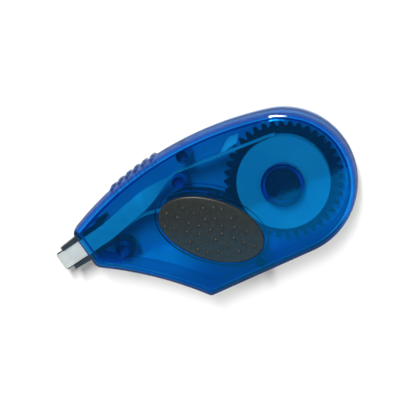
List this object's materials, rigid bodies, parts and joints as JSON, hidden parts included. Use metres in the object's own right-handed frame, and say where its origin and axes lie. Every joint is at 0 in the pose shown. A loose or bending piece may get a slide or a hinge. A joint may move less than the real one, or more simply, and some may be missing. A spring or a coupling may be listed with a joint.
{
  "type": "correction tape dispenser",
  "caption": "Hand-held correction tape dispenser: translucent two-shell case with geared supply and take-up reels, twisting tape, wedge head, oval rubber grips and thumb ridges.",
  "frame": {"origin": "centre of the part's box seen from above, on the plane of the rear face it lies on", "axes": "+X from the head's tip towards the reel end, +Z out of the front face with the grip"},
  "size_m": [0.0918, 0.0466, 0.0162],
  "materials": {
    "blue_case": "clear tinted, polished",
    "grip_rubber": "matt soft rubber",
    "black_head": "satin black",
    "white_tape": "matt coated tape",
    "black_gear": "satin black",
    "natural_core": "natural moulded",
    "clutch_rubber": "matt",
    "carrier_film": "smooth release film",
    "roller_plastic": "smooth moulded"
  },
  "bodies": {
    "case": {"rear_shell": "blue_case", "front_shell": "blue_case", "front_grip": "grip_rubber", "rear_grip": "grip_rubber", "dispensing_head": "black_head", "tape_strip": "white_tape"},
    "gear": {"supply_gear": "black_gear"},
    "supply_reel": {"supply_core": "natural_core", "clutch_ring": "clutch_rubber", "tape_roll": "white_tape"},
    "takeup": {"takeup_reel": "black_gear", "takeup_winding": "carrier_film"},
    "roller": {"guide_roller": "roller_plastic"}
  },
  "joints": [
    {"name": "supply_gear_spin", "type": "hinge", "parent": "case", "child": "gear", "pos_m": [0.02467, 0.00172, 0.0023], "axis": [0, 0, 1], "continuous": true},
    {"name": "clutch_slip", "type": "hinge", "parent": "gear", "child": "supply_reel", "pos_m": [0.02467, 0.00172, 0.0072], "axis": [0, 0, 1], "continuous": true},
    {"name": "takeup_spin", "type": "hinge", "parent": "case", "child": "takeup", "pos_m": [0.00194, -0.00311, 0.0023], "axis": [0, 0, 1], "continuous": true},
    {"name": "guide_roller_spin", "type": "hinge", "parent": "case", "child": "roller", "pos_m": [-0.00343, 0.01132, 0.0072], "axis": [0, 0, 1], "continuous": true}
  ],
  "couplings": [
    {"joint": "takeup_spin", "follows": "supply_gear_spin", "ratio": -2.5},
    {"joint": "guide_roller_spin", "follows": "supply_gear_spin", "ratio": 6.4286}
  ]
}
